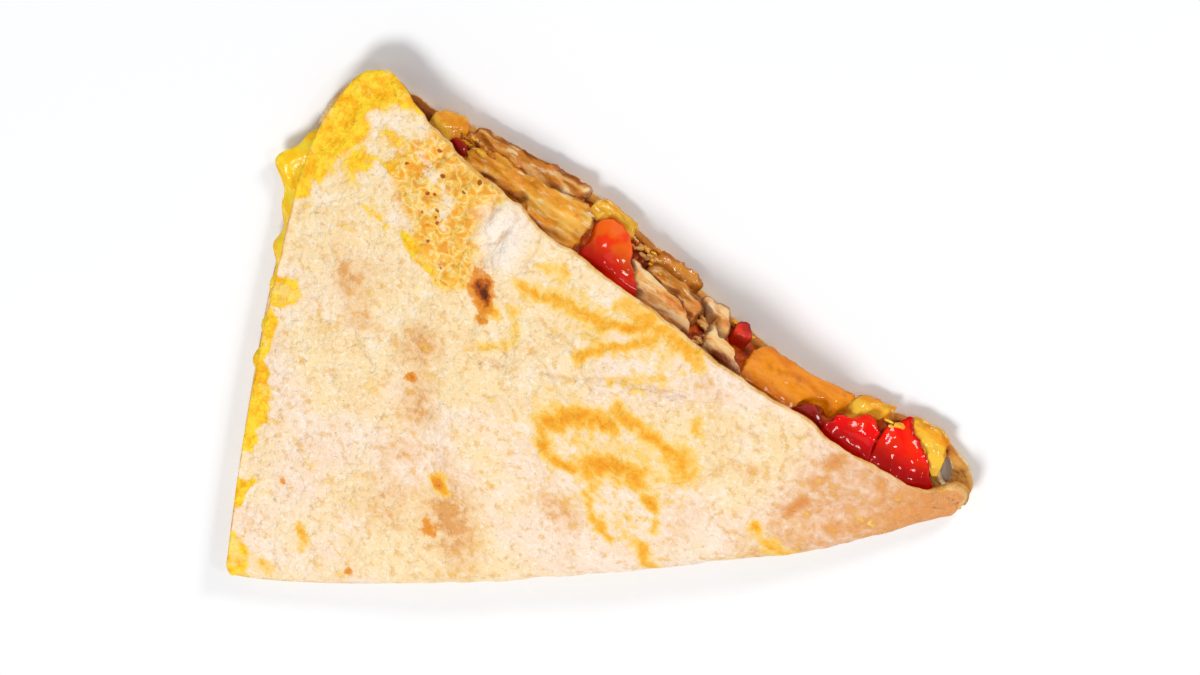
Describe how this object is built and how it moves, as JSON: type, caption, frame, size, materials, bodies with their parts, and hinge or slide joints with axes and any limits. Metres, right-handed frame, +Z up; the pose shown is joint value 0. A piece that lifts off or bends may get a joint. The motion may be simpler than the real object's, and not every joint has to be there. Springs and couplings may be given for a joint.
{
  "type": "quesadilla wedge",
  "caption": "Toasted wedge of a folded, filled flour tortilla: flat base, domed top, fold along one side, filling showing along the cut.",
  "frame": {"origin": "under the middle of the wedge's box, on the plane it rests on", "axes": "+X along the cut side from the wedge's point to the rim, +Y from the cut side towards the fold, +Z up through the domed top"},
  "size_m": [0.1262, 0.0998, 0.0148],
  "materials": {
    "tortilla": "matt, toasted in patches",
    "cheese": "soft gloss, melted",
    "filling": "moist",
    "chicken": "moist, fibrous",
    "tomato": "wet gloss",
    "pepper": "wet gloss"
  },
  "bodies": {
    "root": {"tortilla": "tortilla", "cheese": "cheese", "filling": "filling", "tomato_1": "tomato", "tomato_2": "tomato", "tomato_3": "tomato", "chicken_1": "chicken", "chicken_2": "chicken", "chicken_3": "chicken", "chicken_4": "chicken", "chicken_5": "chicken", "chicken_6": "chicken", "pepper_1": "pepper", "pepper_2": "pepper", "pepper_3": "pepper", "cheese_slab": "cheese", "cheese_strip_1": "cheese", "cheese_strip_2": "cheese", "cheese_strip_3": "cheese", "cheese_strip_4": "cheese", "cheese_blob": "cheese"}
  },
  "joints": []
}
